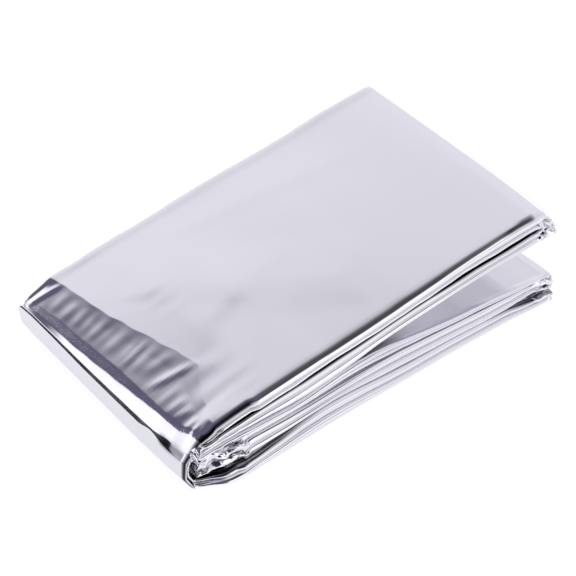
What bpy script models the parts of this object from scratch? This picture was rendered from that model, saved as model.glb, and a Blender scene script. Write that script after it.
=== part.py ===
"""Emergency foil blanket, folded into a packet that gapes like a book.

One sheet of metallised film makes the whole blanket. The width of the sheet is folded back and
forth into a strip of three layers, and the strip is folded back and forth along its length into
five runs that lie on one another. The last fold is the spine: it wraps the pile at -X. At +X the
two leaves of the packet stand a little open.

The tables are in millimetres and MM turns them into metres. +X runs from the spine to the open
end, -Y is the front long side, +Z is up, and the packet lies on z = 0 with its middle over the
origin.
"""
import math
from collections import namedtuple

import bpy
from mathutils import Vector

NAME = "foil_blanket"
MM = 0.001

# Thickness of the sheet, and the gap between one run and the next.
SHEET = 1.0
RUN_GAP = 0.3

# Height that each run of the strip takes, with the gap above it, from the table up. A row is an
# upright section through the packet, and the rows go from the spine to the open end. The wedge is
# the opening between the two leaves. The inner run starts at row INNER_START, and in the rows
# before it its column is the empty room that it leaves.
Section = namedtuple("Section", "x bottom inner lower wedge upper top")
SECTIONS = [
    Section(-47.8, 3.9, 0.0, 3.9, 0.0, 3.9, 3.9),
    Section(-40.0, 3.9, 1.8, 3.9, 0.0, 3.9, 3.9),
    Section(-31.0, 3.9, 3.9, 3.9, 0.0, 3.9, 4.0),
    Section(-16.0, 3.9, 4.3, 4.3, 0.2, 4.6, 4.7),
    Section(2.0, 3.9, 4.4, 4.7, 2.1, 4.7, 4.8),
    Section(18.0, 3.9, 4.4, 4.7, 4.4, 4.8, 4.8),
    Section(33.0, 3.9, 4.3, 4.6, 6.8, 4.8, 4.8),
    Section(47.0, 3.9, 4.1, 4.5, 9.2, 4.8, 4.8),
    Section(59.0, 3.9, 3.9, 4.1, 11.6, 4.8, 4.8),
]
INNER_START = 2

# Long edges of each run, at the spine and at the open end.
Edges = namedtuple("Edges", "run front_spine front_open back_spine back_open")
EDGES = [
    Edges("bottom", -43.4, -39.4, 41.6, 39.8),
    Edges("inner", -42.2, -39.9, 39.6, 38.6),
    Edges("lower", -41.4, -39.6, 40.4, 39.2),
    Edges("upper", -40.2, -39.0, 38.8, 38.4),
    Edges("top", -39.4, -39.3, 39.4, 39.3),
]

# The upper leaf rises toward the open end, so its sections lean back by this much for each
# millimetre of height.
LEAN = 0.16
# The front corner of the upper leaf is pulled in toward the spine, more and more from PULL_START.
CORNER_PULL = 3.7
PULL_START = 5.0
PULL_END = 60.0
# All corners at the open end are drawn in by up to CORNER_ROUND, from ROUND_START on.
CORNER_ROUND = 1.6
ROUND_START = 44.0
ROUND_POWER = 8
# The pile is fuller in its middle than at its long sides, by this share of the height above its
# lowest layer, which stays flat.
SWELL = 0.015
HALF_WIDTH = 39.35

# Middle of the strip where it wraps the spine: a sloping shoulder, then an upright face.
SPINE_X = -58.9
SHOULDER_SLOPE = math.radians(28.0)
SPINE_BEND = 2.3
# Where the bottom run ends, at the open end.
FREE_END = 61.0

# How many flat facets each fold has.
TURN_STEPS = 7
BEND_STEPS = 4
HEM_STEPS = 4
# Places of the points across one layer, as shares of its width.
ACROSS = (0.0, 0.1, 0.35, 0.65, 0.9, 1.0)
# The two raw edges of the strip lie a little inside its folds.
RAW_EDGE_INSET = 1.2

# The runs from the table up, and what is known of the strip at each station along its course.
RUNS = ("bottom", "inner", "lower", "upper", "top")
UPPER_LEAF = ("upper", "top")
Station = namedtuple("Station", "x z thickness front back pull")


def mix(first, last, share):
    """Return the station that lies the given share of the way from first to last."""
    return Station(*[a + (b - a) * share for a, b in zip(first, last)])


def run_station(section, run):
    """Return the middle of one run at one section."""
    place = RUNS.index(run)
    thickness = getattr(section, run) - RUN_GAP
    z = sum(getattr(section, name) for name in RUNS[:place]) + thickness / 2
    x = section.x
    pull = 0.0
    if run in UPPER_LEAF:
        hinge = section.bottom + section.inner + section.lower / 2
        x -= LEAN * (z - hinge)
        z += section.wedge
        share = (x - PULL_START) / (PULL_END - PULL_START)
        pull = CORNER_PULL * max(share, 0.0)
    edges = EDGES[place]
    share = (section.x - SECTIONS[0].x) / (SECTIONS[-1].x - SECTIONS[0].x)
    front = edges.front_spine + (edges.front_open - edges.front_spine) * share
    back = edges.back_spine + (edges.back_open - edges.back_spine) * share
    return Station(x, z, thickness, front, back, pull)


def run_stations(run, start=0):
    """Return one run's stations, from the spine side to the open end."""
    return [run_station(section, run) for section in SECTIONS[start:]]


def turn(first, last, spin):
    """Fold the strip back on itself from first to last: spin is 1 anticlockwise, -1 clockwise."""
    centre = mix(first, last, 0.5)
    arm = Vector((first.x - centre.x, first.z - centre.z))
    arc = []
    for step in range(1, TURN_STEPS):
        share = step / TURN_STEPS
        angle = spin * math.pi * share
        x = centre.x + arm.x * math.cos(angle) - arm.y * math.sin(angle)
        z = centre.z + arm.x * math.sin(angle) + arm.y * math.cos(angle)
        arc.append(mix(first, last, share)._replace(x=x, z=z))
    return arc


def bend(before, corner, after, radius):
    """Round a corner between two straight stretches, as points in the XZ plane."""
    way_in = (corner - before).normalized()
    way_out = (after - corner).normalized()
    angle = way_in.angle(way_out)
    cut = radius * math.tan(angle / 2)
    middle = corner + (way_out - way_in).normalized() * radius / math.cos(angle / 2)
    arm = corner - way_in * cut - middle
    points = []
    for step in range(BEND_STEPS + 1):
        part = angle * step / BEND_STEPS
        points.append(middle + arm * math.cos(part) + way_in * radius * math.sin(part))
    return points


def spine(top, foot):
    """Wrap the strip round the spine, from the top run to the bottom run."""
    start = Vector((top.x, top.z))
    reach = start.x - SPINE_X
    shoulder = Vector((SPINE_X, start.y - reach * math.tan(SHOULDER_SLOPE)))
    heel = Vector((SPINE_X, foot.z))
    end = Vector((foot.x, foot.z))
    points = bend(start, shoulder, heel, SPINE_BEND) + bend(shoulder, heel, end, SPINE_BEND)
    count = len(points) + 1
    return [mix(top, foot, (place + 1) / count)._replace(x=point.x, z=point.y)
            for place, point in enumerate(points)]


def course():
    """Return every station of the strip in order, from its inner end to its free end."""
    inner = run_stations("inner", INNER_START)
    lower = run_stations("lower")[::-1]
    upper = run_stations("upper")
    top = run_stations("top")[::-1]
    bottom = run_stations("bottom")
    free_end = bottom[-1]._replace(x=FREE_END)
    return (
        inner + turn(inner[-1], lower[0], 1)
        + lower + turn(lower[-1], upper[0], -1)
        + upper + turn(upper[-1], top[0], 1)
        + top + spine(top[-1], bottom[0])
        + bottom + [free_end]
    )


def directions(stations):
    """Return each station's left-hand normal, made longer where the course turns."""
    ways = []
    for here, there in zip(stations, stations[1:]):
        ways.append(Vector((there.x - here.x, there.z - here.z)).normalized())
    normals = []
    for place in range(len(stations)):
        before = ways[max(place - 1, 0)]
        after = ways[min(place, len(ways) - 1)]
        middle = (before + after).normalized()
        normals.append(Vector((-middle.y, middle.x)) / middle.dot(after))
    return normals


def layer(first, last, offset):
    """Return points straight across one layer as (y, offset) pairs."""
    return [(first + (last - first) * share, offset) for share in ACROSS]


def hem(y, offset, radius, outward):
    """Return points round a fold at a long side, from one layer to the next."""
    points = []
    for step in range(1, HEM_STEPS):
        angle = math.pi * step / HEM_STEPS
        points.append((y + outward * radius * math.sin(angle), offset - radius * math.cos(angle)))
    return points


def cross_section(station):
    """Return the folded strip's section: outer layer, middle layer, inner layer."""
    spacing = (station.thickness - SHEET) / 2
    radius = spacing / 2
    front = station.front + SHEET / 2 + radius
    back = station.back - SHEET / 2 - radius
    raw_back = station.back - RAW_EDGE_INSET
    raw_front = station.front + RAW_EDGE_INSET
    return (
        layer(raw_back, front, -spacing)
        + hem(front, -radius, radius, -1)
        + layer(front, back, 0.0)
        + hem(back, radius, radius, 1)
        + layer(back, raw_front, spacing)
    )


def settled(point, pull):
    """Draw a point in toward the spine near the open corners, and swell the middle of the pile."""
    side = point.y / HALF_WIDTH
    ramp = min(max((point.x - ROUND_START) / (PULL_END - ROUND_START), 0.0), 1.0)
    x = point.x - pull * (1.0 - side) / 2 - CORNER_ROUND * ramp * abs(side) ** ROUND_POWER
    rise = (point.z - SHEET / 2) * SWELL * (1.0 - side * side)
    return Vector((x, point.y, point.z + rise))


def folded_points():
    """Return the sheet's folded middle surface: a row of points for each station."""
    stations = course()
    rows = []
    for station, normal in zip(stations, directions(stations)):
        row = []
        for y, offset in cross_section(station):
            point = Vector((station.x + normal.x * offset, y, station.z + normal.y * offset))
            row.append(settled(point, station.pull))
        rows.append(row)
    return rows


def centred(rows):
    """Move the folded points so that their box has its middle over the origin."""
    xs = [point.x for row in rows for point in row]
    ys = [point.y for row in rows for point in row]
    shift = Vector(((min(xs) + max(xs)) / 2, (min(ys) + max(ys)) / 2, 0.0))
    return [[point - shift for point in row] for row in rows]


def foil_material():
    """Return the silver finish of the film."""
    material = bpy.data.materials.new("silver_film")
    material.use_nodes = True
    shader = material.node_tree.nodes["Principled BSDF"]
    shader.inputs["Base Color"].default_value = (0.78, 0.77, 0.82, 1.0)
    shader.inputs["Metallic"].default_value = 1.0
    shader.inputs["Roughness"].default_value = 0.18
    return material


def make_blanket(collection):
    """Lay out a flat grid, carry each of its vertices to its folded place and thicken it."""
    rows = centred(folded_points())
    along = len(rows) - 1
    across = len(rows[0]) - 1
    bpy.ops.mesh.primitive_grid_add(x_subdivisions=along, y_subdivisions=across, size=1.0)
    blanket = bpy.context.object
    blanket.name = NAME
    blanket.data.name = NAME
    for vertex in blanket.data.vertices:
        station = round((vertex.co.x + 0.5) * along)
        place = round((vertex.co.y + 0.5) * across)
        vertex.co = rows[station][place] * MM
    thicken = blanket.modifiers.new("film", "SOLIDIFY")
    thicken.thickness = SHEET * MM
    thicken.offset = 0.0
    thicken.use_even_offset = True
    blanket.data.materials.append(foil_material())
    for owner in list(blanket.users_collection):
        owner.objects.unlink(blanket)
    collection.objects.link(blanket)
    return blanket


for old in list(bpy.data.objects):
    bpy.data.objects.remove(old, do_unlink=True)

parts = bpy.data.collections.new(NAME)
bpy.context.scene.collection.children.link(parts)
make_blanket(parts)
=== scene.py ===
# %% [markdown]
# # A folded foil blanket
# An emergency blanket is one big sheet of polyester film with a mirror of metal on it. It is sold
# folded: its width is folded back and forth into a strip, and the strip is folded back and forth
# into a packet. Film keeps every crease, and it reflects like a mirror, so what we see is mostly
# the room, bent by the folds.
#
# First a flat sheet is made, and every point of it is carried to its folded place. Then it gets its
# silver. Last comes the studio, which is half of the look of anything that shines.

# %% Load the fixed frame
import math
from collections import namedtuple

import bpy
import numpy as np
from mathutils import Matrix, Vector


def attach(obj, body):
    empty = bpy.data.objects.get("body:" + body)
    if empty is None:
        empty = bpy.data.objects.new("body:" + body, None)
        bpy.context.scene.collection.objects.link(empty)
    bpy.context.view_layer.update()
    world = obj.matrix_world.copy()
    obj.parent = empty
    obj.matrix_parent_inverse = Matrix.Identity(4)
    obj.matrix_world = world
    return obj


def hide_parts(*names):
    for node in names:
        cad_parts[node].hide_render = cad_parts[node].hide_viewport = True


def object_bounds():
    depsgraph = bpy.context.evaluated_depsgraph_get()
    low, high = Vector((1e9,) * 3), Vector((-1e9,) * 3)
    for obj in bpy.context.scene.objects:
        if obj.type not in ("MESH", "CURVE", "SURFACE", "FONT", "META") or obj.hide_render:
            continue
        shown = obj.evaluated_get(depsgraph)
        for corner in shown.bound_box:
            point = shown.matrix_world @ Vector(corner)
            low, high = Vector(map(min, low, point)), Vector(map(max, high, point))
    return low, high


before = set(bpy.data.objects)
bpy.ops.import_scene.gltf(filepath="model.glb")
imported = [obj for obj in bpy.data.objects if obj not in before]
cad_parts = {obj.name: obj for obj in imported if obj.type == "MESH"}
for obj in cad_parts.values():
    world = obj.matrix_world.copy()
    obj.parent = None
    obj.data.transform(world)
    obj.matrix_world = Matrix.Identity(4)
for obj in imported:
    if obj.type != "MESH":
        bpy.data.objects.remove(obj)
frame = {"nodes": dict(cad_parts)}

MM = 0.001
CAD_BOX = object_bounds()
bpy.ops.object.select_all(action="DESELECT")
print("packed nodes:", ", ".join(frame["nodes"]))

# %% [markdown]
# ## Where the packet lies
# The tables of this lesson are in millimetres. In them x runs from the spine to the open end, y
# from the front to the back, and y is 0 halfway across the top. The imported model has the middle
# of its box over the origin instead, so one small shift takes a point of the tables to its place
# in the frame. It comes from the box, whose lowest x is the spine's face, and lowest y the front
# edge of the lowest run.

# %% From the tables to the frame
SPINE_FACE = -60.7
FRONT_EDGE = -43.4
SHIFT = np.array([CAD_BOX[0][0] / MM - SPINE_FACE, CAD_BOX[0][1] / MM - FRONT_EDGE, 0.0])
print("shift from tables to frame, mm:", SHIFT.round(2))

# %% [markdown]
# ## Reading a table as a soft curve
# A few points are enough for a line that bends a little. Straight pieces between them would leave
# kinks, and a mirror shows every kink. So we read our tables through a curve that keeps its slope
# from one stretch to the next, as a bent batten does. A straight ramp does for what only fades.


# %% A soft curve and a ramp
def smooth(at, xs, ys):
    """Read a soft curve through the table's points."""
    xs, ys = np.asarray(xs, float), np.asarray(ys, float)
    slopes = np.gradient(ys, xs)
    left = np.clip(np.searchsorted(xs, at, side="right") - 1, 0, len(xs) - 2)
    width = xs[left + 1] - xs[left]
    gone = np.clip((at - xs[left]) / width, 0.0, 1.0)
    ends = (1 + 2 * gone) * (1 - gone) ** 2 * ys[left] + gone * gone * (3 - 2 * gone) * ys[left + 1]
    tilts = gone * (1 - gone) ** 2 * slopes[left] - gone * gone * (1 - gone) * slopes[left + 1]
    return ends + width * tilts


def ramp(at, start, end):
    """Return 0 up to the start and 1 from the end on, with a straight rise between."""
    return np.clip((at - start) / (end - start), 0.0, 1.0)


print("halfway up a soft step:", smooth(0.5, (0, 1), (0, 1)))

# %% [markdown]
# ## The lines of the pile
# Seen from the front, the packet is five runs of the strip, one on another: bottom, inner, lower,
# upper and top, with an open wedge between the lower run and the upper one. Each line below is the
# height of one surface at the front of the packet, from the spine to the open end.

# %% Heights along the packet
# Every line is a list of (x, z).
BOTTOM_TOP = [
    (-58, 1.7), (-52, 2.1), (-48, 2.6), (-44, 3.3), (-40, 4.0), (-34, 4.9), (-28, 5.8), (-22, 6.4),
    (-15, 6.8), (-8, 6.4), (0, 5.5), (13, 4.8), (27, 4.5), (40, 4.2), (47, 4.1), (54, 3.3),
    (59, 2.8), (64, 2.6),
]
INNER_LOW = [
    (-58, 3.9), (-54, 3.6), (-50, 3.5), (-46, 3.6), (-43, 3.8), (-40, 4.3), (-34, 5.2), (-28, 6.1),
    (-22, 6.7), (-15, 7.1), (-8, 6.7), (0, 5.8), (13, 5.1), (27, 4.8), (40, 4.6), (47, 4.8),
    (53, 5.6), (58, 5.7), (61, 4.5), (64, 3.2),
]
INNER_TOP = [
    (-58, 7.2), (-54, 7.3), (-45, 8.0), (-40, 8.4), (-33, 9.0), (-27, 9.2), (-21, 9.7), (-15, 10.1),
    (-8, 10.6), (0, 10.6), (10, 10.2), (20, 9.6), (30, 9.2), (40, 9.0), (64, 8.8),
]
LOWER_TOP = [
    (-58, 9.0), (-54, 9.4), (-45, 10.1), (-40, 10.4), (-33, 10.8), (-27, 11.1), (-21, 11.9),
    (-15, 13.1), (-8, 14.0), (0, 14.5), (13, 13.2), (27, 11.9), (42, 11.4), (53, 10.9), (64, 9.7),
]
UPPER_LOW = [
    (-54, 9.7), (-45, 10.4), (-40, 10.7), (-33, 11.1), (-27, 11.4), (-21, 12.2), (-15, 13.4),
    (-8, 14.6), (0, 16.6), (13, 18.4), (27, 20.4), (41, 22.0), (53, 23.4), (64, 24.6),
]
UPPER_TOP = [
    (-54, 11.3), (-45, 12.6), (-39, 13.6), (-33, 14.8), (-27, 15.9), (-21, 17.2), (-14, 18.3),
    (-8, 19.2), (-2, 20.1), (5, 21.1), (18, 22.9), (32, 24.7), (46, 26.2), (53, 27.2), (64, 28.6),
]
TOP_TOP = [
    (-50, 14.9), (-45, 16.2), (-38.4, 17.6), (-32.4, 19.0), (-26.4, 20.2), (-20.2, 21.3), (-14, 22.2),
    (-7.7, 23.2), (5, 25.2), (11.7, 26.25), (18.3, 27.2), (25, 28.2), (32, 29.2), (39, 30.2),
    (46, 31.2), (53, 32.2), (59, 32.9), (64, 33.3),
]
FLOOR_LINE = [(-60, 0.0), (66, 0.0)]
print("the packet rises from", TOP_TOP[0][1], "to", TOP_TOP[-1][1], "mm")

# %% [markdown]
# ## The runs
# The outer layer of the strip is the one that shows, so each run follows the line of its outer
# layer and reaches as deep as the line of its innermost one. Three middle layers share the height
# between them unevenly, because film bunches in pairs and leaves a gap, which later gets painted
# shade. The long edges aren't straight either: the bottom run bulges at the front left, where it
# is squeezed round the spine.

# %% Table of the runs
RUN_GAP = 0.3
# A run's outer and innermost lines, its middle layers at the front edge, as shares of its height
# from the outer layer, and its front and back edges: y at each x.
Run = namedtuple("Run", "outer innermost shares front back")
RUNS = {
    "bottom": Run(
        FLOOR_LINE, BOTTOM_TOP, (0.42, 0.52, 0.92),
        [(-57, -38.6), (-55.5, -39.9), (-53, -41.2), (-50, -43.0), (-46, -43.7), (-41, -43.5),
         (-36, -43.2), (-27, -42.6), (-17, -41.9), (-8, -41.3), (10, -40.6), (45, -39.2), (64, -39.4)],
        [(-57, 39.0), (-50, 41.0), (-43, 41.6), (10, 41.0), (64, 39.8)]),
    "inner": Run(
        INNER_LOW, INNER_TOP, (0.42, 0.50, 0.94),
        [(-52, -40.4), (-44, -41.6), (-31, -42.0), (-13, -41.3), (10, -40.2), (45, -39.3), (63, -39.2)],
        [(-52, 39.6), (63, 38.6)]),
    "lower": Run(
        LOWER_TOP, INNER_TOP, (0.45, 0.55, 0.82),
        [(-53, -40.2), (-31, -40.8), (-13, -40.5), (10, -40.1), (45, -39.5), (63, -39.5)],
        [(-53, 40.4), (63, 39.2)]),
    "upper": Run(
        UPPER_LOW, UPPER_TOP, (0.46, 0.53, 0.95),
        [(-53, -39.9), (-20, -40.3), (10, -40.1), (45, -39.9), (62, -39.8)],
        [(-53, 38.8), (62, 38.4)]),
    "top": Run(
        TOP_TOP, UPPER_TOP, (0.62, 0.70, 0.90),
        [(-60, -39.9), (-40, -40.1), (62, -40.2)],
        [(-60, 39.2), (62, 39.5)]),
}
# These two leave the gap between runs at their inner side.
GAPPED_RUNS = ("lower", "top")
print("runs from the floor up:", ", ".join(RUNS))

# %% [markdown]
# ## The spine
# The last fold of the strip wraps the whole pile. It isn't round: the film slopes down a shoulder,
# sinks into a neck, breaks over a bevel, dips into a groove and drops down an upright face to the
# heel. The shoulder is narrow at its two ends and wide in the middle. So the spine has an outline
# at each of twelve y, and every place between two of them is a soft blend.

# %% Outlines of the spine
# The y of each outline, from the back to the front.
KEYS = np.array([40.0, 31.0, 22.0, 14.5, 6.7, -4.2, -12.5, -19.0, -24.0, -31.0, -36.5, -40.0])
OUTLINES = len(KEYS)
# The middle one of them is used to measure how far along the strip a station lies.
MIDDLE_KEY = 5
# Every row is (x, z) of one corner at each of those y.
SHOULDER = [
    (-50.0, 14.8), (-48.6, 15.15), (-47.9, 15.4), (-47.1, 15.55), (-45.6, 15.9), (-43.6, 16.4),
    (-41.9, 16.8), (-41.0, 17.0), (-44.0, 16.1), (-47.0, 15.5), (-49.6, 15.3), (-50.3, 15.1),
]
HALFWAY = [
    (-57.0, 10.8), (-56.6, 11.4), (-55.8, 11.95), (-55.7, 12.1), (-55.3, 12.4), (-54.9, 12.75),
    (-54.9, 12.9), (-54.9, 13.0), (-55.0, 13.05), (-54.5, 13.2), (-53.4, 13.9), (-52.5, 13.5),
]
BEVEL_TOP = [
    (-58.5, 9.95), (-58.3, 10.5), (-58.0, 10.75), (-58.0, 10.9), (-57.6, 11.2), (-57.0, 11.6),
    (-56.5, 12.0), (-56.1, 12.35), (-55.9, 12.5), (-55.6, 12.45), (-54.4, 13.1), (-54.2, 12.5),
]
GROOVE_TOP = [
    (-59.35, 9.3), (-59.25, 9.8), (-59.2, 9.7), (-59.2, 9.6), (-59.15, 9.5), (-59.0, 9.45),
    (-58.85, 9.45), (-58.75, 9.5), (-58.6, 9.5), (-57.9, 10.0), (-57.2, 9.9), (-56.6, 9.9),
]
GROOVE_FOOT = [
    (-59.75, 8.68), (-59.7, 9.1), (-59.68, 8.96), (-59.72, 8.79), (-59.75, 8.58), (-59.66, 8.44),
    (-59.55, 8.38), (-59.48, 8.4), (-58.95, 8.96), (-59.1, 8.15), (-58.7, 7.9), (-58.0, 8.4),
]
FACE_FOOT = (
    [(-59.8, 3.2)] + [(-59.7, 2.8)] * 4 + [(-59.6, 2.6)] * 3
    + [(-59.5, 2.6), (-59.4, 2.8), (-59.2, 3.1), (-59.0, 3.4)]
)
HEEL_X = (-57.2, -57.8, -57.8, -57.8, -57.8, -57.7, -57.7, -57.7, -57.6, -57.5, -57.4, -57.3)
HEEL = [(x, 0.0) for x in HEEL_X]
print(OUTLINES, "outlines of the spine")

# %% [markdown]
# The neck is worked out: it lies a third of the way from the shoulder to the halfway corner, and a
# little under the straight line, so that the film hangs as a shallow trough.

# %% The neck
NECK_SHARE = 0.35
NECK_DROP = (0.08, 0.10, 0.09, 0.08, 0.08, 0.08, 0.08, 0.05, 0.03, 0.03, 0.03, 0.03)
NECK = [
    (from_x + (to_x - from_x) * NECK_SHARE, from_z + (to_z - from_z) * NECK_SHARE - drop)
    for (from_x, from_z), (to_x, to_z), drop in zip(SHOULDER, HALFWAY, NECK_DROP)
]
# The corners in order: where they lie, how round they are, and how many steps lead up to each.
SpineCorner = namedtuple("SpineCorner", "places radius steps_before")
SPINE = {
    "shoulder": SpineCorner(SHOULDER, 2.4, 6),
    "neck": SpineCorner(NECK, 60.0, 5),
    "halfway": SpineCorner(HALFWAY, 2.4, 7),
    "bevel top": SpineCorner(BEVEL_TOP, 3.0, 5),
    "groove top": SpineCorner(GROOVE_TOP, 0.5, 4),
    "groove foot": SpineCorner(GROOVE_FOOT, 0.5, 3),
    "face foot": SpineCorner(FACE_FOOT, 2.2, 5),
    "heel": SpineCorner(HEEL, 1.8, 3),
}
STEPS_AFTER_HEEL = 2
# The spine's own front and back edges: y at each share of the way down.
SPINE_FRONT = [(0.0, -39.4), (0.45, -39.2), (0.6, -38.6), (0.85, -38.6), (1.0, -39.8)]
SPINE_BACK = [
    (0.0, 39.2), (0.45, 38.9), (0.62, 38.4), (0.70, 39.5), (0.80, 39.3), (0.90, 37.8), (1.0, 38.6),
]
print("corners of the spine:", ", ".join(SPINE))

# %% [markdown]
# ## Stations along a run
# A station is one upright section through the strip. It knows where the outer layer is in each
# outline, how high the run is, its two long edges, how its layers share the height, and whether
# the open corner pulls at it. Stations lie close together where the film shows or bends.


# %% Stations of one run
def run_stretch(name, x_from, *spans):
    """Return the stations along one run, in spans that each have an end and a number of steps."""
    run = RUNS[name]
    x = [x_from]
    for x_to, steps in spans:
        x.extend(np.linspace(x[-1], x_to, steps + 1)[1:])
    x = np.array(x)
    z = smooth(x, *zip(*run.outer))
    height = abs(smooth(x, *zip(*run.innermost)) - z)
    if name in GAPPED_RUNS:
        height -= RUN_GAP
    return {
        "x": np.repeat(x[:, None], OUTLINES, axis=1),
        "z": np.repeat(z[:, None], OUTLINES, axis=1),
        "height": height,
        "front": smooth(x, *zip(*run.front)),
        "back": smooth(x, *zip(*run.back)),
        "shares": np.repeat(np.array([run.shares]), len(x), axis=0),
        "pull": np.full(len(x), 1.0 if name == "top" else 0.0),
    }


inner = run_stretch("inner", -56.4, (-38.0, 26), (45.0, 11), (60.0, 8))
lower = run_stretch("lower", 59.6, (50.0, 8), (-38.0, 17), (-54.6, 22))
upper = run_stretch("upper", -53.2, (-40.0, 16), (50.0, 16), (58.0, 8))
top = run_stretch("top", 59.4, (50.0, 12), (-38.0, 48))
bottom = run_stretch("bottom", -56.6, (-40.0, 18), (46.0, 12), (64.3, 8))
print("stations along the top:", len(top["height"]))

# %% [markdown]
# ## Round corners
# A crease in film is a very tight bend. Each corner is drawn as straight, arc, straight: the arc
# touches both sides, so the film turns without a step. Even an almost straight corner gets an arc
# of some length, because stations that lie on top of one another spoil the shading.

# %% Arcs between straight stretches
Corner = namedtuple("Corner", "x z radius")
# Least length cut from each side of a corner, and the most, as a share of the shorter side.
LEAST_CUT = 0.06
MOST_CUT = 0.45


def rounded(before, corners, after, bend_steps, straight_steps):
    """Return points along straight stretches with round bends at the corners."""
    points = []
    places = [Vector(before)] + [Vector(corner[:2]) for corner in corners] + [Vector(after)]
    here = places[0]
    for number, corner in enumerate(corners):
        middle, ahead = places[number + 1], places[number + 2]
        way_in = (middle - here).normalized()
        way_out = (ahead - middle).normalized()
        half_turn = math.tan(max(way_in.angle(way_out), 1e-4) / 2)
        angle = 2 * math.atan(half_turn)
        room = MOST_CUT * min((middle - here).length, (ahead - middle).length)
        radius = min(max(corner.radius, LEAST_CUT / half_turn), room / half_turn)
        cut = radius * half_turn
        start, end = middle - way_in * cut, middle + way_out * cut
        for step in range(1, straight_steps[number]):
            points.append(here.lerp(start, step / straight_steps[number]))
        side = math.copysign(1.0, way_in.x * way_out.y - way_in.y * way_out.x)
        centre = start + Vector((-way_in.y, way_in.x)) * side * radius
        arm = start - centre
        for step in range(bend_steps + 1):
            part = angle * step / bend_steps
            points.append(centre + arm * math.cos(part) + way_in * radius * math.sin(part))
        here = end
    for step in range(1, straight_steps[-1]):
        points.append(here.lerp(places[-1], step / straight_steps[-1]))
    return points


print("points round one corner:", len(rounded((0, 0), [Corner(4, 0, 1)], (4, 4), 4, (2, 2))))

# %% [markdown]
# A bent stretch is such a line in every outline at once. What else a station knows changes evenly
# from the run before the bend to the run after it.


# %% Stations round a fold
def bent_stretch(before, after, outlines, bend_steps, straight_steps, front=None, back=None):
    """Return stations round a fold, given the corners of its outline at each y."""
    lines = []
    for key, corners in enumerate(outlines):
        start = (before["x"][-1][key], before["z"][-1][key])
        end = (after["x"][0][key], after["z"][0][key])
        lines.append(rounded(start, corners, end, bend_steps, straight_steps))
    lines = np.array(lines)
    count = lines.shape[1]
    share = (np.arange(count) + 1) / (count + 1)

    def between(name):
        first, last = np.asarray(before[name][-1]), np.asarray(after[name][0])
        return first + (last - first) * (share[:, None] if first.ndim else share)

    return {
        "x": lines[:, :, 0].T,
        "z": lines[:, :, 1].T,
        "height": between("height"),
        "front": smooth(share, *zip(*front)) if front else between("front"),
        "back": smooth(share, *zip(*back)) if back else between("back"),
        "shares": between("shares"),
        "pull": between("pull"),
    }


BEND_STEPS = 4
lower_end = [Corner(64.1, inner["z"][-1][0] - 0.9, 0.8), Corner(63.0, lower["z"][0][0], 1.0)]
book_fold = [Corner(-55.4, lower["z"][-1][0], 0.4), Corner(-54.6, upper["z"][0][0], 0.4)]
upper_end = [Corner(64.4, 24.2, 1.5), Corner(62.9, 33.1, 1.2)]
spine_corners = [
    [Corner(*corner.places[key], corner.radius) for corner in SPINE.values()]
    for key in range(OUTLINES)
]
spine_steps = [corner.steps_before for corner in SPINE.values()] + [STEPS_AFTER_HEEL]
around_lower_end = bent_stretch(inner, lower, [lower_end] * OUTLINES, 4, (3, 5, 3))
around_book_fold = bent_stretch(lower, upper, [book_fold] * OUTLINES, 3, (2, 2, 2))
around_upper_end = bent_stretch(upper, top, [upper_end] * OUTLINES, 5, (3, 6, 3))
around_spine = bent_stretch(top, bottom, spine_corners, BEND_STEPS, spine_steps, SPINE_FRONT, SPINE_BACK)
print("stations round the spine:", len(around_spine["height"]))

# %% [markdown]
# ## The whole course
# The stretches are joined in the order in which the strip was folded, from its inner end to its
# free end under the packet. We keep which rows of the grid each stretch has.

# %% Join the course
parts = {
    "inner": inner, "lower end": around_lower_end, "lower": lower, "book fold": around_book_fold,
    "upper": upper, "upper end": around_upper_end, "top": top, "spine": around_spine, "bottom": bottom,
}
course = {name: np.concatenate([part[name] for part in parts.values()]) for name in inner}
rows = {}
stations = 0
for name, part in parts.items():
    rows[name] = slice(stations, stations + len(part["x"]))
    stations = rows[name].stop


def left_normals(x, z):
    """Return the unit vectors to the left of each outline at each station."""
    steps = np.stack([np.diff(x, axis=0), np.diff(z, axis=0)])
    steps /= np.maximum(np.sqrt((steps ** 2).sum(axis=0)), 1e-9)
    ways = np.concatenate([steps[:, :1], steps[:, 1:] + steps[:, :-1], steps[:, -1:]], axis=1)
    ways /= np.sqrt((ways ** 2).sum(axis=0))
    return -ways[1], ways[0]


left_x, left_z = left_normals(course["x"], course["z"])
middle_x, middle_z = course["x"][:, MIDDLE_KEY], course["z"][:, MIDDLE_KEY]
travelled = np.concatenate([[0.0], np.cumsum(np.hypot(np.diff(middle_x), np.diff(middle_z)))])
print(f"{stations} stations, strip {travelled[-1]:.0f} mm long")

# %% [markdown]
# ## Across the strip
# At each station the strip has five layers, joined by four long folds, two at the front and two at
# the back. The raw edges of the sheet lie at the back of the outer layer and at the front of the
# innermost one. A long fold in film is flat on top and drops over the edge, so we draw it as half
# an ellipse. No edge is straight, so each one wanders a little, by three waves with seeded starts,
# which come out the same every time.

# %% Edges of the layers
LAYERS = 5
# How far each of the four folds reaches across.
FOLD_REACH = (1.9, 0.6, 1.1, 0.6)
# Raw back edge, front fold, back fold, front fold, back fold, raw front edge: how far each lies in
# from the strip's own edge, and how far it wanders.
EDGE_INSET = (0.3, 0.0, 0.8, 0.25, 0.4, 1.9)
EDGE_WANDER = (0.12, 0.05, 0.35, 0.12, 0.35, 0.15)
FIRST_EDGE_SEED = 20
WANDER_WAVELENGTHS, WANDER_UNIT = (47.0, 23.0, 9.0), 8.0
# Near the spine the inner layers of the bottom run stop short, and leave a hollow.
HOLLOW_START, HOLLOW_END, HOLLOW_DEPTH = -44.0, -46.0, 0.9
# Of the six edges, those are the second front fold and the raw front edge.
HOLLOW_EDGES = (3, 5)


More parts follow.
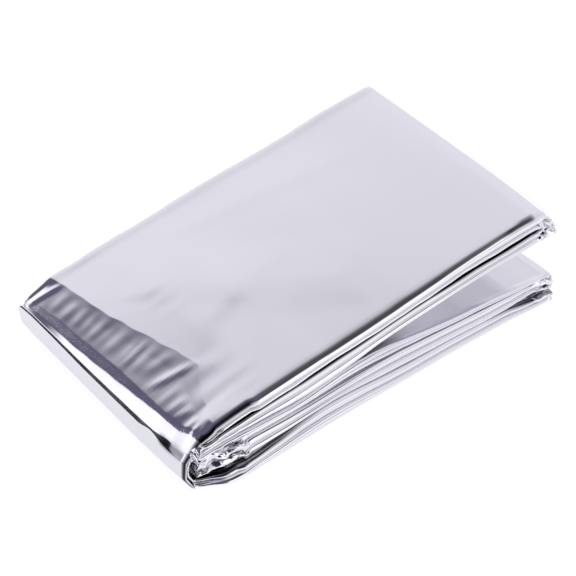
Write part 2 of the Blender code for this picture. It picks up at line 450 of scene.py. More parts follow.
def wander(at, seed):
    """Return a soft, uneven wave of about one unit along the given places."""
    random = np.random.default_rng(seed)
    total = np.zeros_like(at)
    for wavelength in WANDER_WAVELENGTHS:
        total += np.sin(2 * np.pi * (at / wavelength + random.random())) * wavelength ** 0.5
    return total / WANDER_UNIT


def edge_lines():
    """Return y along the six edges, from the raw back edge to the raw front edge."""
    edges = []
    for number in range(LAYERS + 1):
        inset = EDGE_INSET[number] + EDGE_WANDER[number] * wander(travelled, FIRST_EDGE_SEED + number)
        at_front = number % 2 == 1
        edges.append(course["front"] + inset if at_front else course["back"] - inset)
    in_bottom = np.arange(stations) >= rows["bottom"].start
    short = HOLLOW_DEPTH * ramp(middle_x, HOLLOW_START, HOLLOW_END) * in_bottom
    for number in HOLLOW_EDGES:
        edges[number] = edges[number] + short
    return edges


print("edges of the layers:", len(edge_lines()))

# %% [markdown]
# The outer layer has many points, closer together near its two edges, where the film rolls over.
# The layers inside have only three each, because no one sees them. They lie higher or lower at the
# back than at the front, so each slopes a little.

# %% Points across the strip
OUTER_POINTS, LAYER_POINTS, FOLD_POINTS = 101, 3, (11, 4, 7, 4)
# The outer layer's points crowd toward its edges: even shares, and where they are moved to.
EVEN_SHARES, CROWDED_SHARES = (0.0, 0.16, 0.84, 1.0), (0.0, 0.09, 0.91, 1.0)
# Where the layers lie at the back edge, as shares of the run's height.
BACK_SHARES = (0.0, 0.10, 0.52, 0.60, 0.97)


def cross_section():
    """Return y and depth under the outer layer for every point of every station."""
    edges = edge_lines()
    height = course["height"]
    at_front = [0.0 * height] + [share * height for share in course["shares"].T] + [height]
    at_back = [share * height for share in BACK_SHARES]
    ys, depths = [], []
    for layer in range(LAYERS):
        side = -1 if layer % 2 == 0 else 1
        reach_in = FOLD_REACH[layer - 1] if layer > 0 else 0.0
        reach_out = FOLD_REACH[layer] if layer < LAYERS - 1 else 0.0
        start = edges[layer] + side * reach_in
        end = edges[layer + 1] - side * reach_out
        first, last = (at_back, at_front) if side < 0 else (at_front, at_back)
        shares = np.linspace(0.0, 1.0, LAYER_POINTS)
        if layer == 0:
            shares = np.interp(np.linspace(0.0, 1.0, OUTER_POINTS), EVEN_SHARES, CROWDED_SHARES)
        for share in shares:
            ys.append(start + (end - start) * share)
            depths.append(first[layer] + (last[layer] - first[layer]) * share)
        steps = FOLD_POINTS[layer] if layer < LAYERS - 1 else 0
        for step in range(1, steps + 1):
            angle = math.pi * step / (steps + 1)
            ys.append(end + side * reach_out * math.sin(angle))
            depths.append(last[layer] + (last[layer + 1] - last[layer]) * (1 - math.cos(angle)) / 2)
    return np.array(ys).T, np.array(depths).T


across_y, depth = cross_section()
points_across = across_y.shape[1]
print(f"{points_across} points across, {stations * points_across} in all")

# %% [markdown]
# ## Blending the outlines
# A point between two outlines takes a share of each, by a soft step, so that the film doesn't kink
# at the outlines themselves.

# %% Shares of the outlines
blend_share = np.zeros((stations, points_across, OUTLINES))
for key in range(OUTLINES):
    share = np.interp(-across_y, -KEYS, np.eye(OUTLINES)[key])
    blend_share[:, :, key] = share * share * (3 - 2 * share)
blend_share /= blend_share.sum(axis=2, keepdims=True)


def blend(values):
    """Mix the outlines' values at each point by how near its y is to each outline."""
    return np.einsum("spk,sk->sp", blend_share, values)


course_x, course_z = blend(course["x"]), blend(course["z"])
print(f"the outer layer reaches from x {course_x.min():.1f} to {course_x.max():.1f} mm")

# %% [markdown]
# ## Listed creases
# Film that has been folded never lies quite flat. Its relief is a list of creases: each runs
# between two points, is a few millimetres wide, and stands up or sinks by a fraction of a
# millimetre. That is little, but a mirror doubles every tilt. A crease may be wider on one side
# than on the other, which makes one side steep and the other gentle.

# %% Creases of the top
# The first width is on the left of the way from (x0, y0) to (x1, y1). The taper is the share of
# the length over which the ends fade.
Crease = namedtuple("Crease", "x0 y0 x1 y1 width_left width_right height taper")
CREASES = [
    # Along the back edge, and the long soft folds of the middle.
    Crease(-53.0, 38.2, 66.0, 38.2, 2.0, 2.0, 0.24, 0.1),
    Crease(-46.0, 32.5, 50.0, 30.5, 3.2, 3.2, -0.04, 0.5),
    Crease(-30.0, 29.3, 46.0, 17.0, 4.5, 3.5, 0.08, 0.6),
    # The fan of short ones behind the shoulder.
    Crease(-40.0, 12.0, -29.0, 12.0, 1.2, 1.6, 0.034, 0.9),
    Crease(-41.0, 7.0, -28.0, 7.5, 1.2, 1.6, 0.040, 0.9),
    Crease(-40.0, 1.0, -26.0, 2.5, 1.3, 1.6, 0.036, 0.9),
    # The fan at the front left corner.
    Crease(-48.0, -23.0, -31.0, -20.0, 2.2, 2.0, 0.06, 0.9),
    Crease(-50.0, -28.5, -27.0, -28.0, 1.7, 1.5, 0.07, 0.9),
    Crease(-50.5, -33.2, -30.0, -33.5, 1.4, 1.3, 0.05, 0.9),
    # The folded corner at the back of the shoulder: a trough and a ridge.
    Crease(-50.6, 37.2, -63.0, 38.5, 0.9, 0.9, -0.26, 0.5),
    Crease(-48.4, 33.4, -63.0, 37.4, 0.9, 0.9, 0.26, 0.5),
]


def off_crease(x, y, crease):
    """Return how far each point is along a crease and how far it is to the left of it, in mm."""
    run_x, run_y = crease.x1 - crease.x0, crease.y1 - crease.y0
    length = math.hypot(run_x, run_y)
    along = ((x - crease.x0) * run_x + (y - crease.y0) * run_y) / length
    off = ((x - crease.x0) * -run_y + (y - crease.y0) * run_x) / length
    return along, off, length


def soft_crease(x, y, crease):
    """Return the height of one rounded crease at each point."""
    along, off, length = off_crease(x, y, crease)
    width = np.where(off > 0, crease.width_left, crease.width_right)
    fade = length * crease.taper / 2
    ends = np.clip(along / fade, 0, 1) * np.clip((length - along) / fade, 0, 1)
    ends = ends * ends * (3 - 2 * ends)
    return crease.height * np.exp(-(off / width) ** 2) * ends


relief = np.zeros((stations, points_across))
for crease in CREASES:
    relief += soft_crease(course_x, across_y, crease)
print(len(CREASES), "creases on the top")

# %% [markdown]
# The shallow dent near the front left has flat facets with edges between them. Each is one slope
# of a low hipped roof, whose height falls evenly away from the ridge to either side and past both
# ends. The lowest of those four slopes is the roof, and a soft minimum rounds its edges a little.

# %% Facets of the dent
Facet = namedtuple("Facet", "x0 y0 x1 y1 width_left width_right height hip")
FACETS = [
    Facet(-31.0, 12.5, -18.0, -4.5, 18.0, 7.0, 0.23, 10.0),
    Facet(-18.0, -4.5, 3.0, -20.0, 18.0, 12.0, 0.32, 9.0),
    Facet(-22.0, -10.0, -34.0, -17.0, 8.0, 5.0, -0.11, 13.0),
]
FACET_SHARPNESS = 14.0


def soft_roof(x, y, facet):
    """Return the height of a low hipped roof with softened edges."""
    along, off, length = off_crease(x, y, facet)
    slopes = np.stack([1 - off / facet.width_left, 1 + off / facet.width_right,
                       1 + along / facet.hip, 1 + (length - along) / facet.hip])
    slopes = np.maximum(slopes, -4.0)
    lowest = -np.log(np.exp(-FACET_SHARPNESS * slopes).sum(axis=0))
    return facet.height * np.logaddexp(0.0, lowest) / FACET_SHARPNESS


for facet in FACETS:
    relief += soft_roof(course_x, across_y, facet)
print(len(FACETS), "faceted folds in the dent")

# %% [markdown]
# Ripples cross the shoulder, where the film was stretched over the pile. Each is a short ridge from
# the shoulder's crease toward the bevel.

# %% Ripples of the shoulder
Ripple = namedtuple("Ripple", "x0 y0 x1 y1 width height")
RIPPLES = [
    Ripple(-49.0, 29.0, -56.5, 28.2, 1.3, 0.09), Ripple(-49.4, 23.8, -56.0, 23.3, 1.1, 0.08),
    Ripple(-48.9, 19.8, -55.4, 18.2, 1.0, 0.09), Ripple(-47.6, 16.4, -55.0, 14.3, 0.9, 0.06),
    Ripple(-46.6, 11.7, -55.6, 11.1, 1.2, 0.11), Ripple(-46.4, 8.4, -54.8, 7.6, 0.9, 0.05),
    Ripple(-46.0, 4.2, -55.0, 3.4, 1.5, 0.11), Ripple(-45.6, -0.2, -53.6, -2.0, 0.7, 0.07),
    Ripple(-44.6, -2.4, -54.6, -4.2, 0.7, 0.15), Ripple(-43.8, -6.2, -53.6, -7.8, 1.4, 0.12),
    Ripple(-42.2, -11.4, -52.4, -10.2, 1.4, 0.12), Ripple(-40.6, -18.3, -54.2, -15.2, 0.8, 0.20),
    Ripple(-47.8, -21.4, -55.6, -21.8, 0.8, 0.09), Ripple(-48.8, -25.5, -55.4, -25.9, 0.9, 0.14),
    Ripple(-49.6, -29.6, -55.4, -28.1, 0.8, 0.12), Ripple(-50.6, -33.0, -55.2, -33.2, 0.7, 0.08),
    Ripple(-51.5, -35.0, -58.5, -37.2, 0.5, 0.14), Ripple(-51.2, -37.0, -58.0, -38.6, 0.5, 0.14),
]
# Each ripple is a little wider than listed, and fades past both ends by a share of its length.
RIPPLE_SPREAD, RIPPLE_REACH, RIPPLE_TAPER = 1.2, 0.12, 0.8
for ripple in RIPPLES:
    width = ripple.width * RIPPLE_SPREAD
    more_x, more_y = (ripple.x1 - ripple.x0) * RIPPLE_REACH, (ripple.y1 - ripple.y0) * RIPPLE_REACH
    ends = (ripple.x0 - more_x, ripple.y0 - more_y, ripple.x1 + more_x, ripple.y1 + more_y)
    relief += soft_crease(course_x, across_y, Crease(*ends, width, width, ripple.height, RIPPLE_TAPER))
print(len(RIPPLES), "ripples on the shoulder")

# %% [markdown]
# The relief belongs to the outer layer of the top and of the spine above its upright face, and is
# faded out elsewhere. The top also rolls over a little just before its front edge, which draws the
# thin dark line there.

# %% Where the relief shows
STATIONS_BEFORE_TOP = 4
# The relief starts at the foot and is whole a rise above it. It fades out down to the depth.
RELIEF_FOOT, RELIEF_RISE, RELIEF_DEPTH = 9.8, 1.2, 1.2
ROLL_START, ROLL_WIDTH, ROLL_DEPTH = -36.4, 2.2, 0.09
ROLL_FIRST_X, ROLL_FULL_X = -50.0, -42.0
shows = np.zeros((stations, points_across))
shows[rows["top"].start - STATIONS_BEFORE_TOP:rows["spine"].stop] = 1.0
shows *= np.clip(1.0 - depth / RELIEF_DEPTH, 0.0, 1.0)
relief *= shows * np.clip((course_z - RELIEF_FOOT) / RELIEF_RISE, 0.0, 1.0)
near_front = np.clip((ROLL_START - across_y) / ROLL_WIDTH, 0.0, 1.2)
near_front *= ramp(course_x, ROLL_FIRST_X, ROLL_FULL_X)
relief -= ROLL_DEPTH * near_front ** 2 * shows
print(f"relief from {relief.min():.2f} to {relief.max():.2f} mm")

# %% [markdown]
# ## Carry the sheet to its folds
# Every point goes to its folded place: along the course, across by its y, and inward from the
# outer layer by its depth. Then the whole packet is eased. The open corner at the front is drawn
# in, the pile swells in its middle, and the top droops toward the back and lifts a little at the
# front left.

# %% Folded places
FILM = 0.12
HALF_WIDTH = 39.35
SWELL = 0.012
CORNER_PULL, PULL_START, PULL_END = 6.7, 5.0, 60.0
CORNER_ROUND, ROUND_START, ROUND_POWER = 0.35, 54.0, 14
# The droop grows from its start in y to its end, and so does the rise.
DROOP_START, DROOP_END, RISE_START, RISE_END = -20.0, 39.0, -10.0, -39.0
# How far the top droops at the back edge and rises at the front edge, at each x.
BACK_DROOP = [
    (-60, 0.2), (-53, 0.6), (-46, 1.3), (-36, 1.7), (-27, 2.0), (-17, 1.9), (-7, 1.5), (4, 1.0),
    (14, 1.1), (30, 0.7), (47, -0.3), (60, -0.5),
]
FRONT_RISE = [
    (-60, 0.0), (-52, 0.6), (-45, 0.9), (-38, 0.7), (-32, 0.4), (-26, 0.2), (-18, 0.0), (46, 0.0),
    (58, -0.6),
]
inward = depth - relief
fold_x = course_x + blend(left_x) * inward
fold_z = course_z + blend(left_z) * inward + FILM / 2
toward_open_end = np.clip((fold_x - PULL_START) / (PULL_END - PULL_START), 0.0, None)
toward_front = np.clip((HALF_WIDTH - across_y) / (2 * HALF_WIDTH), 0.0, 1.0)
side = across_y / HALF_WIDTH
corner = ramp(fold_x, ROUND_START, PULL_END)
fold_x -= CORNER_PULL * toward_open_end * toward_front * course["pull"][:, None]
fold_x -= CORNER_ROUND * corner * np.clip(np.abs(side), 0, 1.02) ** ROUND_POWER
fold_z += fold_z * SWELL * (1.0 - side * side)
top_z = smooth(np.clip(fold_x, TOP_TOP[0][0], PULL_END), *zip(*TOP_TOP))
share_up = np.clip(fold_z / top_z, 0.0, 1.0)
back_part = np.clip((across_y - DROOP_START) / (DROOP_END - DROOP_START), 0.0, 1.05) ** 2
front_part = np.clip((RISE_START - across_y) / (RISE_START - RISE_END), 0.0, 1.05) ** 2
fold_z -= share_up * back_part * smooth(fold_x, *zip(*BACK_DROOP))
fold_z += share_up * front_part * smooth(fold_x, *zip(*FRONT_RISE))
print(f"highest point {fold_z.max():.1f} mm")

# %% [markdown]
# ## Crumpled corners
# Where two folds meet, the film buckles into small facets. A simulation could find them, but not
# where we want them. A sum of triangle waves in seeded directions looks the same and is quick:
# each wave is a fold and back, and where several cross there are flat facets with sharp edges.

# %% Crumple
CRUMPLE_FOLDS = [(7.5, 0.45), (5.2, 0.32), (3.6, 0.2)]
CRUMPLE_SEEDS = (3, 4, 5)
# How much of the pattern goes into x, y and z.
CRUMPLE_AMOUNTS = (0.7, 1.3, 0.8)
# The outer layer stays smooth down to this depth.
SMOOTH_DEPTH = 0.3
# Each zone has its low end, its high end and the width of its soft edge along x, y and z. They
# are the front left corner, the open corner of the upper leaf and that of the lower one.
Zone = namedtuple("Zone", "x y z")
CRUMPLED_ZONES = [
    Zone((-56.5, -43.0, 2.0), (-46.0, -37.0, 2.5), (4.4, 11.0, 1.2)),
    Zone((57.0, 70.0, 3.0), (-46.0, -37.8, 1.5), (20.0, 40.0, 2.0)),
    Zone((58.0, 70.0, 3.0), (-46.0, -37.0, 2.0), (3.0, 10.8, 1.6)),
]
# Where the film is pinched at the groove of the spine, which gets painted shade.
KINK = Zone((-61.0, -57.6, 0.6), (-38.5, -28.5, 2.0), (8.3, 9.9, 0.5))


def crumple(x, y, z, seed):
    """Return a faceted, creased pattern: a sum of triangle waves in seeded directions."""
    random = np.random.default_rng(seed)
    total = np.zeros_like(x)
    for wavelength, height in CRUMPLE_FOLDS:
        way = random.normal(size=3)
        way /= np.linalg.norm(way)
        phase = (x * way[0] + y * way[1] + z * way[2]) / wavelength + random.random()
        total += height * (4 * np.abs(phase - np.floor(phase) - 0.5) - 1)
    return total


def inside(values, low, high, soft):
    """Return 1 between low and high, falling to 0 over the soft width outside."""
    rise = np.clip((values - low) / soft + 1, 0, 1)
    fall = np.clip((high - values) / soft + 1, 0, 1)
    return np.minimum(rise, fall)


def in_zone(zone):
    """Return how far each point of the sheet is inside a zone, from 0 to 1."""
    return inside(fold_x, *zone.x) * inside(across_y, *zone.y) * inside(fold_z, *zone.z)


kink = in_zone(KINK)
crumpled = sum(in_zone(zone) for zone in CRUMPLED_ZONES)
crumpled = np.clip(crumpled * np.clip(depth - SMOOTH_DEPTH, 0, 1), 0.0, 1.0)
jolts = [
    crumple(fold_x, across_y, fold_z, seed) * crumpled * amount
    for seed, amount in zip(CRUMPLE_SEEDS, CRUMPLE_AMOUNTS)
]
fold_x, fold_y, fold_z = fold_x + jolts[0], across_y + jolts[1], fold_z + jolts[2]
fold_z = np.maximum(fold_z, FILM / 2)
folded = (np.stack([fold_x, fold_y, fold_z], axis=-1) + SHIFT) * MM
print(f"{(crumpled > 0.5).sum()} points lie in crumpled film")

# %% [markdown]
# ## Where little light gets in
# Deep between the layers a mirror sees only itself, and each bounce loses light. Our layers have
# room between them that real film doesn't have, so the render makes them too bright. A number at
# every point of the sheet, 0 for open and 1 for deep, darkens the silver there. Columns of the
# grid are places across the strip, and rows are stations.

# %% Columns of the folds
FRONT_FOLD = OUTER_POINTS
SECOND_FRONT_FOLD = FRONT_FOLD + FOLD_POINTS[0] + LAYER_POINTS + FOLD_POINTS[1] + LAYER_POINTS
FOLD_END = SECOND_FRONT_FOLD + FOLD_POINTS[2] - 1
outer_layer = slice(0, FRONT_FOLD)
at_fold_end = slice(FOLD_END - 1, FOLD_END + 2)
raw_edge = slice(-1, None)
station_x = course["x"][:, :1]
print("the second front fold has columns", SECOND_FRONT_FOLD, "to", FOLD_END)

# %% Painted shade in the gaps between the runs
# Painted shade, darker toward the wedge's narrow end, and in the crevice over the bottom run
# toward both ends.
WEDGE_SHADE, WEDGE_DEEP_SHADE, HOLLOW_SHADE = 0.13, 0.4, 0.9
even = np.ones((stations, 1))
wedge = WEDGE_SHADE + WEDGE_DEEP_SHADE * ramp(station_x, 17.0, 3.0)
crevice = np.maximum(ramp(station_x, -15.0, -35.0), ramp(station_x, 38.0, 56.0))
# The top's front edge ends in a tuck at the open corner, painted with shade that widens toward
# its end.
tuck, wide_tuck = inside(station_x, 50.0, 58.5, 4.0), inside(station_x, 55.5, 58.5, 4.0)
# How much painted shade some columns of a run get, and how that changes from station to station.
Shadow = namedtuple("Shadow", "run columns darkness along")
SHADOWS = [
    Shadow("top", at_fold_end, (0.5, 1.0, 1.0), even), Shadow("top", raw_edge, 1.0, even),
    Shadow("upper", at_fold_end, (0.5, 1.0, 1.0), even), Shadow("upper", raw_edge, 1.0, even),
    Shadow("upper", outer_layer, 1.0, wedge), Shadow("lower", outer_layer, 1.0, wedge),
    Shadow("lower", slice(FOLD_END, FOLD_END + 2), 0.45, even),
    Shadow("bottom", at_fold_end, 0.7, crevice), Shadow("bottom", raw_edge, 0.7, crevice),
    Shadow("bottom", slice(FRONT_FOLD - 1, FRONT_FOLD + 5), 0.14, even),
    Shadow("inner", slice(FRONT_FOLD, FRONT_FOLD + 3), (0.8, 0.5, 0.1), crevice),
    Shadow("top", slice(FRONT_FOLD - 2, FRONT_FOLD), (0.4, 0.7), wide_tuck),
    Shadow("top", slice(FRONT_FOLD, FRONT_FOLD + 3), (0.75, 0.75, 0.5), tuck),
    Shadow("spine", slice(FRONT_FOLD + 1, FRONT_FOLD + 5), (0.7, 1.0, 1.0, 0.5), even),
    Shadow("spine", slice(FRONT_FOLD + 8, FRONT_FOLD + 9), 0.5, even),
]
# The painted shade of every point of the sheet, from none to full.
painted_shade = np.zeros((stations, points_across))
for shadow in SHADOWS:
    painted_shade[rows[shadow.run], shadow.columns] = (shadow.along * shadow.darkness)[rows[shadow.run]]
# Painted shade in the hollow inside the bottom run's spine end.
hollow = HOLLOW_SHADE * inside(station_x, -57.0, -46.0, 1.5)
painted_shade[rows["bottom"], FOLD_END:] = np.maximum(painted_shade[rows["bottom"], FOLD_END:], hollow[rows["bottom"]])
print(f"{len(SHADOWS)} shadows, mean darkness {painted_shade.mean():.3f}")

# %% [markdown]
# The spine also gets painted shade at the kink, where the film is pinched at the groove, and more
# of it toward the floor, so it turns greyer there. Its dark band, from the halfway corner to the
# bevel, has a fine grain, as stretched film has, which is strongest where the bevel starts.

# %% Shadows and grain of the spine
corner_rows = {}
row = rows["spine"].start
for name, spine_corner in SPINE.items():
    corner_rows[name] = row + spine_corner.steps_before - 1
    row = corner_rows[name] + BEND_STEPS + 1
FACE_SHADE, FOOT_SHADE, KINK_SHADE = 0.05, 0.12, 0.7
HALF_A_BEND = BEND_STEPS // 2
face_start = corner_rows["groove foot"] + HALF_A_BEND + 1
foot_start = corner_rows["face foot"] + HALF_A_BEND + 1
painted_shade[face_start:foot_start, outer_layer] = FACE_SHADE
painted_shade[foot_start:rows["spine"].stop, outer_layer] = FOOT_SHADE
on_spine = (rows["spine"], outer_layer)
painted_shade[on_spine] = np.maximum(painted_shade[on_spine], KINK_SHADE * kink[on_spine])
band_start, band_end = corner_rows["halfway"] + HALF_A_BEND, corner_rows["bevel top"]
# The first station of each stretch of grain, the first one after it, and how strong it is.
GRAIN_STRETCHES = [
    (band_start - 1, band_start, 0.5), (band_start, band_end - 3, 0.8),
    (band_end - 3, band_end + 2, 1.3), (band_end + 2, band_end + 3, 0.6),
]
grain = np.zeros((stations, points_across))
for first, after, strength in GRAIN_STRETCHES:
    grain[first:after, outer_layer] = strength
print("grain on stations", band_start, "to", band_end)

# %% [markdown]
# ## The sheet as a mesh
# The blanket starts as what it is, a flat sheet: a grid with a row for each station and a column
# for each place across. Its vertices are then only moved, as when a real sheet is folded. Each one
# finds its row and column from where it lay in the flat grid.

# %% Lay out the grid and fold it
bpy.ops.mesh.primitive_grid_add(x_subdivisions=stations - 1, y_subdivisions=points_across - 1, size=1.0)
blanket = bpy.context.object
blanket.name = "foil_sheet"
vertices = blanket.data.vertices
flat = np.empty(len(vertices) * 3, dtype=np.float32)
vertices.foreach_get("co", flat)
flat = flat.reshape(-1, 3)
station_of = np.rint((flat[:, 0] + 0.5) * (stations - 1)).astype(int)
place_of = np.rint((flat[:, 1] + 0.5) * (points_across - 1)).astype(int)
vertices.foreach_set("co", folded[station_of, place_of].astype(np.float32).ravel())
print(f"{len(vertices)} vertices folded")

# %% [markdown]
# Unfolded again, the sheet is as long as the course, and as wide as the sum of the steps across. A
# real blanket is larger. Its many more layers are too thin to see, so five stand for all of them.

# %% [markdown]
# The painted shade, the grain and the crumple go with the vertices as attributes, which the
# material reads. Then a Solidify modifier gives the film its thickness, about a tenth of a
# millimetre. Real film has about 12 microns.

# %% Attributes and thickness
for name, values in (("painted_shade", painted_shade), ("grain", grain), ("crumple", crumpled)):
    attribute = blanket.data.attributes.new(name, "FLOAT", "POINT")
    attribute.data.foreach_set("value", values[station_of, place_of].astype(np.float32).ravel())
thicken = blanket.modifiers.new("film", "SOLIDIFY")
thicken.thickness = FILM * MM
thicken.offset = 0.0
bpy.ops.object.modifier_apply(modifier=thicken.name)
bpy.ops.object.shade_smooth()
print(f"{len(blanket.data.polygons) * 2} triangles")

# %% [markdown]
# ## A small kit for shader nodes
# A material is a net of nodes, and this kit makes wiring one shorter. A Wire wraps a socket, so
# that `wire * 0.5` or `1 - wire` adds the Math node for us, and a Tree adds any other node in one
# call: its kind, its settings and its sockets.


# %% Wires and trees
class Wire:
    """A shader socket that can be used in sums."""

    def __init__(self, tree, socket):
        self.tree, self.socket = tree, socket

    def _math(self, operation, other, swapped=False):
        first, second = (other, self) if swapped else (self, other)
        return self.tree.node("ShaderNodeMath", {"operation": operation}, {0: first, 1: second})

    def __add__(self, other):
        return self._math("ADD", other)

    def __sub__(self, other):
        return self._math("SUBTRACT", other)

    def __rsub__(self, other):
        return self._math("SUBTRACT", other, swapped=True)

    def __mul__(self, other):
        return self._math("MULTIPLY", other)

    __radd__, __rmul__ = __add__, __mul__


class Tree:
    """Adds nodes to one material or world."""

    def __init__(self, tree):
        self.tree = tree

    def node(self, kind, settings=None, inputs=None, output=0):
        """Add a node of a kind, set it up, fill its sockets and return one output."""
        made = self.tree.nodes.new(kind)
        for key, value in (settings or {}).items():
            if key == "stops":
                self.set_stops(made.color_ramp, value)
            else:
                setattr(made, key, value)
        for key, value in (inputs or {}).items():
            self.plug(made, key, value)
        return Wire(self, made.outputs[output]) if made.outputs else None

    def plug(self, node, key, value):
        """Link a wire to a socket of a node, or set the socket's value."""
        if isinstance(value, Wire):
            self.tree.links.new(value.socket, node.inputs[key])
        else:
            node.inputs[key].default_value = value

    def set_stops(self, ramp, stops):
        """Give a colour ramp its stops."""
        ramp.interpolation = "EASE"
        for number, (place, colour) in enumerate(stops):
            stop = ramp.elements[number] if number < 2 else ramp.elements.new(place)
            stop.position, stop.color = place, colour


print("node kit ready")

# %% [markdown]
# ## Silver film
# Metallised film is a mirror with a faint violet cast, which handling leaves a little dull in
# patches. So the silver is fully metallic, its roughness drifts with a soft cloud, and an attribute
# of painted shade carries its colour toward black between the layers.

# %% The silver
SILVER = (0.77, 0.765, 0.80, 1.0)
# The near black that painted shade carries the silver toward.
PAINTED_SHADE_COLOUR = (0.02, 0.02, 0.03, 1.0)
CLEAN_ROUGHNESS, DULL_ROUGHNESS = 0.05, 0.10
CLOUD_SCALE = 90.0
silver_film = bpy.data.materials.new("silver_film")
silver_film.use_nodes = True
shader = silver_film.node_tree.nodes["Principled BSDF"]
shader.inputs["Metallic"].default_value = 1.0
kit = Tree(silver_film.node_tree)
place = kit.node("ShaderNodeTexCoord", output="Object")


def painted(name):
    """Return one of the sheet's attributes as a shader value."""
    return kit.node("ShaderNodeAttribute", {"attribute_name": name}, output="Fac")


def noise(scale, detail):
    """Return a noise on object coordinates, from 0 to 1."""
    return kit.node("ShaderNodeTexNoise", {}, {"Vector": place, "Scale": scale, "Detail": detail})


# Painted shade: the silver's colour goes toward near black by the sheet's attribute of painted shade.
tone = kit.node("ShaderNodeMix", {"data_type": "RGBA"}, {0: painted("painted_shade"), 6: SILVER, 7: PAINTED_SHADE_COLOUR}, output=2)
cloud = noise(CLOUD_SCALE, 2.0)
kit.plug(shader, "Base Color", tone)
kit.plug(shader, "Roughness", cloud * DULL_ROUGHNESS + CLEAN_ROUGHNESS)
print("material:", silver_film.name)

# %% [markdown]
# The crumpled corners have facets finer than the mesh. They are a bump of four triangle waves in
# fixed directions, which the Ping-Pong node makes, and the crumple attribute keeps them in the
# corners. The spine's grain is a very fine noise, also only where its attribute is.

# %% Fine facets and grain
# A direction, and the length of one wave in metres.
FACET_WAVES = [
    ((0.8, 0.3, 0.5), 0.0034), ((-0.4, 0.7, 0.6), 0.0043),
    ((0.2, -0.6, 0.8), 0.0027), ((0.6, 0.6, -0.5), 0.0038),
]
FACET_DEPTH = 0.22
GRAIN_DEPTH, GRAIN_SCALE = 0.00004, 2400.0


def triangle_wave(direction, wavelength):
    """Return a triangle wave along a direction, as a shader value."""
    dot = {"operation": "DOT_PRODUCT"}
    along = kit.node("ShaderNodeVectorMath", dot, {0: place, 1: direction}, output="Value")
    return kit.node("ShaderNodeMath", {"operation": "PINGPONG"}, {0: along + 1.0, 1: wavelength / 2})


# A wave's middle is a quarter of its length up, and is taken off so that the mask makes no step.
facet_middle = sum(wavelength for direction, wavelength in FACET_WAVES) / 4
facet_sum = sum(triangle_wave(*wave) for wave in FACET_WAVES) - facet_middle
speck = noise(GRAIN_SCALE, 1.0) - 0.5
surface = facet_sum * painted("crumple") * FACET_DEPTH + speck * painted("grain") * GRAIN_DEPTH
bump = kit.node("ShaderNodeBump", {}, {"Height": surface, "Strength": 1.0, "Distance": 1.0})
kit.plug(shader, "Normal", bump)
blanket.data.materials.append(silver_film)
print(len(silver_film.node_tree.nodes), "nodes in the film")

# %% [markdown]
# ## The floor
# The packet lies on white paper. A mirror throws light back on paper next to it, so the paper has
# a glow of its own, which evens it out and leaves just a hint of the packet's shadow.

# %% Paper floor
FLOOR_SIZE, FLOOR_Z = 4.0, -0.0002
PAPER = {
    "Base Color": (0.2, 0.2, 0.2, 1.0), "Roughness": 0.9, "Specular IOR Level": 0.0,
    "Emission Color": (0.85, 0.85, 0.90, 1.0), "Emission Strength": 1.0,
}
bpy.ops.mesh.primitive_plane_add(size=FLOOR_SIZE, location=(0.0, 0.0, FLOOR_Z))
floor = bpy.context.object
floor.name = "floor"
paper = bpy.data.materials.new("paper")
paper.use_nodes = True
for socket, value in PAPER.items():
    paper.node_tree.nodes["Principled BSDF"].inputs[socket].default_value = value
floor.data.materials.append(paper)
print("floor:", floor.name)

# %% [markdown]
# ## The studio
# A mirror has no look of its own: it shows what stands round it. Foil wants big screens round it,
# white, grey and black, and here they are painted on the world. Every patch is set by a direction
# from the packet, so it stays put when the camera moves. Three helpers are enough for that: how
# far a way points along a direction, a soft step, and a mix of two colours.

# %% Helpers for the world
world = bpy.data.worlds.new("studio")
bpy.context.scene.world = world
world.use_nodes = True
world.node_tree.nodes.clear()
sky = Tree(world.node_tree)
way = sky.node("ShaderNodeTexCoord", output="Generated")


def facing(direction):
    """Return how far each way points along a direction."""
    length = math.sqrt(sum(part * part for part in direction))
    unit = tuple(part / length for part in direction)
    return sky.node("ShaderNodeVectorMath", {"operation": "DOT_PRODUCT"}, {0: way, 1: unit}, output="Value")


def step(wire, low, high):
    """Return 0 below low, 1 above high, and a soft rise between."""
    settings = {"interpolation_type": "SMOOTHSTEP"}
    return sky.node("ShaderNodeMapRange", settings, {"Value": wire, "From Min": low, "From Max": high})


def mixed(share, first, second):
    """Mix two colours."""
    return sky.node("ShaderNodeMix", {"data_type": "RGBA"}, {0: share, 6: first, 7: second}, output=2)


def grey(value, tint=(1.0, 0.985, 1.055)):
    """Return a grey with the studio's faint violet cast."""
    return tuple(value * part for part in tint) + (1.0,)


print("world:", world.name)

# %% [markdown]
# The climb from the floor to overhead is one ramp, told by how far a way points up: white walls, a
# pale grey that the top of the packet mirrors, and black overhead for the sloping shoulder.

# %% Walls and ceiling
WHITE = (1.0, 1.0, 1.0)
SKY_STOPS = [
    (0.0, 1.35), (0.30, 1.35), (0.42, 1.00), (0.60, 0.95), (0.73, 0.87), (0.77, 0.83), (0.80, 0.74),
    (0.84, 0.52), (0.88, 0.27), (0.92, 0.13), (0.96, 0.075), (1.0, 0.075),
]
toward_x, toward_y, up = [
    sky.node("ShaderNodeSeparateXYZ", {}, {"Vector": way}, output=axis) for axis in range(3)
]
stops = [(place_up, grey(value)) for place_up, value in SKY_STOPS]
view = sky.node("ShaderNodeValToRGB", {"stops": stops}, {"Fac": up})
print(len(stops), "stops from the floor to overhead")

# %% [markdown]
# The screens are laid over it one after another. The dark one to the left draws the ripples and the
# band of the spine, the white one in front lights the long folds, and the foot of the bevel shows
# the line along the floor.

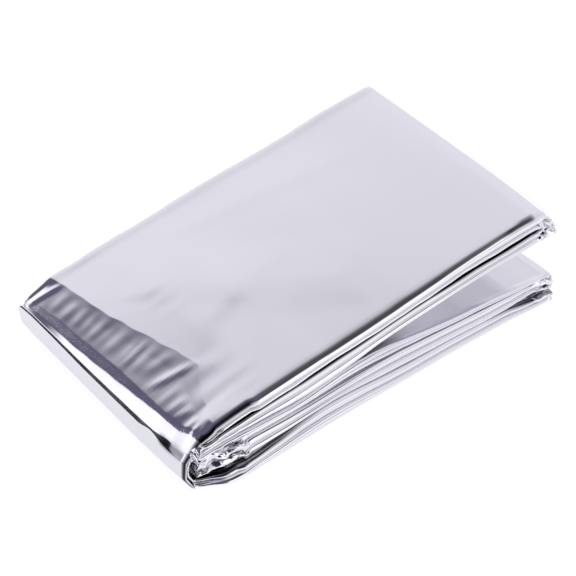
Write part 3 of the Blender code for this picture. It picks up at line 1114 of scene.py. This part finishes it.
# %% Screens
VIOLET, UNLIT, BLACK = (0.135, 0.12, 0.19, 1.0), (0.03, 0.03, 0.045, 1.0), (0.015, 0.015, 0.022, 1.0)
left_screen = step(facing((-0.62, 0.20, 0.75)), 0.59, 0.81)
left_screen *= step(up, 0.39, 0.46) * step(toward_y, -0.55, -0.35)
view = mixed(left_screen, view, VIOLET)
# White in front, from the floor to overhead.
view = mixed(1.0 - step(toward_y, -0.52, -0.40), view, grey(1.35, WHITE))
# Grey, far out at the front right.
view = mixed(step(facing((0.58, -0.71, 0.40)), 0.96, 0.985), view, grey(0.76))
# The unlit side of the room, high at the front left.
view = mixed(step(facing((-0.479, -0.635, 0.606)), 0.86, 0.93), view, UNLIT)
# White, low at the back.
view = mixed((1.0 - step(up, 0.25, 0.38)) * step(toward_y, 0.80, 0.90), view, grey(1.3, WHITE))
# A black line along the floor at the left.
floor_line = step(up, -0.015, 0.0) * (1.0 - step(up, 0.10, 0.13)) * (1.0 - step(toward_x, -0.50, -0.40))
view = mixed(floor_line, view, BLACK)
print("screens painted")

# %% [markdown]
# Only reflections see the screens. Everything else, the background and the light on the paper,
# gets plain white, which keeps the surroundings clean.

# %% Finish the world
is_glossy = sky.node("ShaderNodeLightPath", output="Is Glossy Ray")
shown = mixed(is_glossy, (*WHITE, 1.0), view)
background = sky.node("ShaderNodeBackground", {}, {"Color": shown, "Strength": 1.0})
sky.node("ShaderNodeOutputWorld", {}, {"Surface": background})
bpy.context.scene.cycles.glossy_bounces = 12
print(len(world.node_tree.nodes), "nodes in the world")

# %% [markdown]
# One soft lamp hangs over the front. It gives the floor its light, and is hidden from reflections
# so that it doesn't print a disk on the film.

# %% Lamp
LAMP_PLACE, LAMP_TILT = (0.15, -0.45, 0.9), (25.0, 8.0, 0.0)
LAMP_SIZE, LAMP_WATTS = 0.9, 1.0
bpy.ops.object.light_add(type="AREA", location=LAMP_PLACE)
lamp = bpy.context.object
lamp.name = "ceiling_lamp"
lamp.data.shape = "DISK"
lamp.data.size = LAMP_SIZE
lamp.data.energy = LAMP_WATTS
lamp.rotation_euler = [math.radians(angle) for angle in LAMP_TILT]
lamp.visible_glossy = False
print("lamp:", lamp.name)

# %% [markdown]
# ## The camera
# We look down on the packet from the front left. The camera's place is worked out from its target,
# two angles and a distance, and its focal length from pixels of the finished render.

# %% Camera
AZIMUTH, ELEVATION, ROLL = -37.007, 37.31, -0.492
DISTANCE = 421.4
TARGET = np.array([9.15, 10.25, 0.0])
FOCAL_PIXELS, RENDER_PIXELS, SENSOR = 1491.4, 576, 36.0
bpy.ops.object.camera_add()
camera = bpy.context.object
turned = (
    Matrix.Rotation(math.radians(AZIMUTH), 4, "Z")
    @ Matrix.Rotation(math.radians(90.0 - ELEVATION), 4, "X")
    @ Matrix.Rotation(math.radians(ROLL), 4, "Z")
)
back_way = turned @ Vector((0.0, 0.0, 1.0))
stand = Vector((TARGET + SHIFT) * MM) + back_way * DISTANCE * MM
camera.matrix_world = Matrix.Translation(stand) @ turned
camera.data.sensor_width = SENSOR
camera.data.lens = FOCAL_PIXELS / RENDER_PIXELS * SENSOR
bpy.context.scene.camera = camera
bpy.context.scene.view_settings.view_transform = "Standard"
print("camera at", [round(value, 3) for value in stand])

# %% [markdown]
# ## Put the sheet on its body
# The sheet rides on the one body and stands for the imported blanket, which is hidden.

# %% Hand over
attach(blanket, "root")
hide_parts("foil_blanket")
